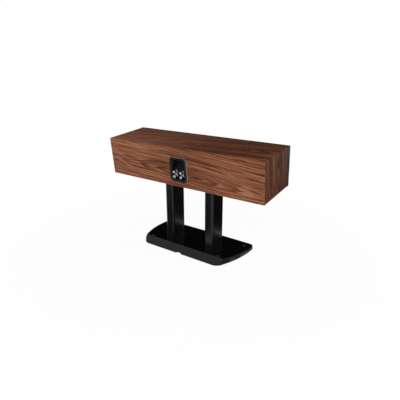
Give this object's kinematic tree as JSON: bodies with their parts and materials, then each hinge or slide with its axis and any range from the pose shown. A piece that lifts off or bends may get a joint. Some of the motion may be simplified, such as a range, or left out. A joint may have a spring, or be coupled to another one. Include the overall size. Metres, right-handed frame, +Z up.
{
  "type": "center channel speaker",
  "caption": "Wide walnut center channel speaker tilted back on a low black stand with twin pillars, seen with its recessed terminal cup.",
  "frame": {"origin": "on the floor, below the middle of the overall box", "axes": "+Z up, -Y the way the drivers face, +X to the right of a listener in front who looks at the drivers"},
  "size_m": [0.914, 0.29, 0.5831],
  "materials": {
    "walnut": "open-pore walnut veneer, satin",
    "black_lacquer": "satin black lacquer on fibreboard",
    "raw_board": "raw fibreboard",
    "gloss_black": "gloss black lacquer on fibreboard",
    "satin_black": "satin black finish on an extrusion",
    "powder_coat": "black powder coat",
    "steel": "zinc plated",
    "foot": "hard black glide on a stud",
    "bright_cap": "satin steel",
    "black_plastic": "moulded, satin",
    "plated": "bright plating",
    "cast_frame": "die-cast, painted black",
    "motor": "ferrite and plated steel",
    "cone": "fine brushed, anodised",
    "rubber": "matt moulded rubber",
    "cloth": "resin-treated cloth",
    "faceplate": "satin black",
    "board": "coated laminate",
    "copper": "enamelled copper winding",
    "film": "film wrap"
  },
  "bodies": {
    "speaker": {"base_plate": "gloss_black", "binding_posts": "plated", "board_spacers": "black_plastic", "brace_left": "raw_board", "brace_right": "raw_board", "cabinet_screws": "steel", "cabinet_wrap": "walnut", "crossover_board": "board", "crossover_capacitors": "film", "crossover_coils": "copper", "divider_left": "raw_board", "divider_right": "raw_board", "foot_cap_nuts": "bright_cap", "front_baffle": "black_lacquer", "jumper_link_left": "plated", "jumper_link_right": "plated", "levelling_feet": "foot", "midrange_basket": "cast_frame", "midrange_motor": "motor", "midrange_spider": "cloth", "midrange_surround": "rubber", "pillar_left": "satin_black", "pillar_right": "satin_black", "rear_panel": "walnut", "terminal_cup": "black_plastic", "tie_rods": "steel", "top_plate": "powder_coat", "tweeter_faceplate": "faceplate", "tweeter_motor": "motor", "tweeter_surround": "rubber", "woofer_left_basket": "cast_frame", "woofer_left_motor": "motor", "woofer_left_spider": "cloth", "woofer_left_surround": "rubber", "woofer_right_basket": "cast_frame", "woofer_right_motor": "motor", "woofer_right_spider": "cloth", "woofer_right_surround": "rubber"},
    "woofer_left_piston": {"woofer_left_cone": "cone", "woofer_left_dust_cap": "cone"},
    "woofer_right_piston": {"woofer_right_cone": "cone", "woofer_right_dust_cap": "cone"},
    "midrange_piston": {"midrange_cone": "cone", "midrange_dust_cap": "cone"},
    "tweeter_piston": {"tweeter_dome": "cone"},
    "left_upper_washer": {"clamp_washer_left_upper": "plated"},
    "left_upper_nut": {"thumb_nut_left_upper": "plated"},
    "left_lower_washer": {"clamp_washer_left_lower": "plated"},
    "left_lower_nut": {"thumb_nut_left_lower": "plated"},
    "right_upper_washer": {"clamp_washer_right_upper": "plated"},
    "right_upper_nut": {"thumb_nut_right_upper": "plated"},
    "right_lower_washer": {"clamp_washer_right_lower": "plated"},
    "right_lower_nut": {"thumb_nut_right_lower": "plated"}
  },
  "joints": [
    {"name": "woofer_left_travel", "type": "slide", "parent": "speaker", "child": "woofer_left_piston", "axis": [0, -0.9965, 0.0837], "range_m": [-0.005, 0.005], "stiffness_N_per_m": 1100, "deforming": ["woofer_left_surround", "woofer_left_spider"]},
    {"name": "woofer_right_travel", "type": "slide", "parent": "speaker", "child": "woofer_right_piston", "axis": [0, -0.9965, 0.0837], "range_m": [-0.005, 0.005], "stiffness_N_per_m": 1100, "deforming": ["woofer_right_surround", "woofer_right_spider"]},
    {"name": "midrange_travel", "type": "slide", "parent": "speaker", "child": "midrange_piston", "axis": [0, -0.9965, 0.0837], "range_m": [-0.002, 0.002], "stiffness_N_per_m": 1500, "deforming": ["midrange_surround", "midrange_spider"]},
    {"name": "tweeter_travel", "type": "slide", "parent": "speaker", "child": "tweeter_piston", "axis": [0, -0.9965, 0.0837], "range_m": [-0.0004, 0.0004], "stiffness_N_per_m": 2500, "deforming": ["tweeter_surround"]},
    {"name": "left_upper_lift", "type": "slide", "parent": "speaker", "child": "left_upper_washer", "axis": [0, 0.9965, -0.0837], "range_m": [0, 0.004]},
    {"name": "left_upper_turn", "type": "hinge", "parent": "left_upper_washer", "child": "left_upper_nut", "pos_m": [-0.0195, 0.14349, 0.43972], "axis": [0, 0.9965, -0.0837], "range_deg": [0, 1440]},
    {"name": "left_lower_lift", "type": "slide", "parent": "speaker", "child": "left_lower_washer", "axis": [0, 0.9965, -0.0837], "range_m": [0, 0.004]},
    {"name": "left_lower_turn", "type": "hinge", "parent": "left_lower_washer", "child": "left_lower_nut", "pos_m": [-0.0195, 0.14157, 0.4168], "axis": [0, 0.9965, -0.0837], "range_deg": [0, 1440]},
    {"name": "right_upper_lift", "type": "slide", "parent": "speaker", "child": "right_upper_washer", "axis": [0, 0.9965, -0.0837], "range_m": [0, 0.004]},
    {"name": "right_upper_turn", "type": "hinge", "parent": "right_upper_washer", "child": "right_upper_nut", "pos_m": [0.0195, 0.14349, 0.43972], "axis": [0, 0.9965, -0.0837], "range_deg": [0, 1440]},
    {"name": "right_lower_lift", "type": "slide", "parent": "speaker", "child": "right_lower_washer", "axis": [0, 0.9965, -0.0837], "range_m": [0, 0.004]},
    {"name": "right_lower_turn", "type": "hinge", "parent": "right_lower_washer", "child": "right_lower_nut", "pos_m": [0.0195, 0.14157, 0.4168], "axis": [0, 0.9965, -0.0837], "range_deg": [0, 1440]}
  ],
  "couplings": [
    {"joint": "left_upper_lift", "follows": "left_upper_turn", "m_per_rad": 0.000159},
    {"joint": "left_lower_lift", "follows": "left_lower_turn", "m_per_rad": 0.000159},
    {"joint": "right_upper_lift", "follows": "right_upper_turn", "m_per_rad": 0.000159},
    {"joint": "right_lower_lift", "follows": "right_lower_turn", "m_per_rad": 0.000159}
  ]
}
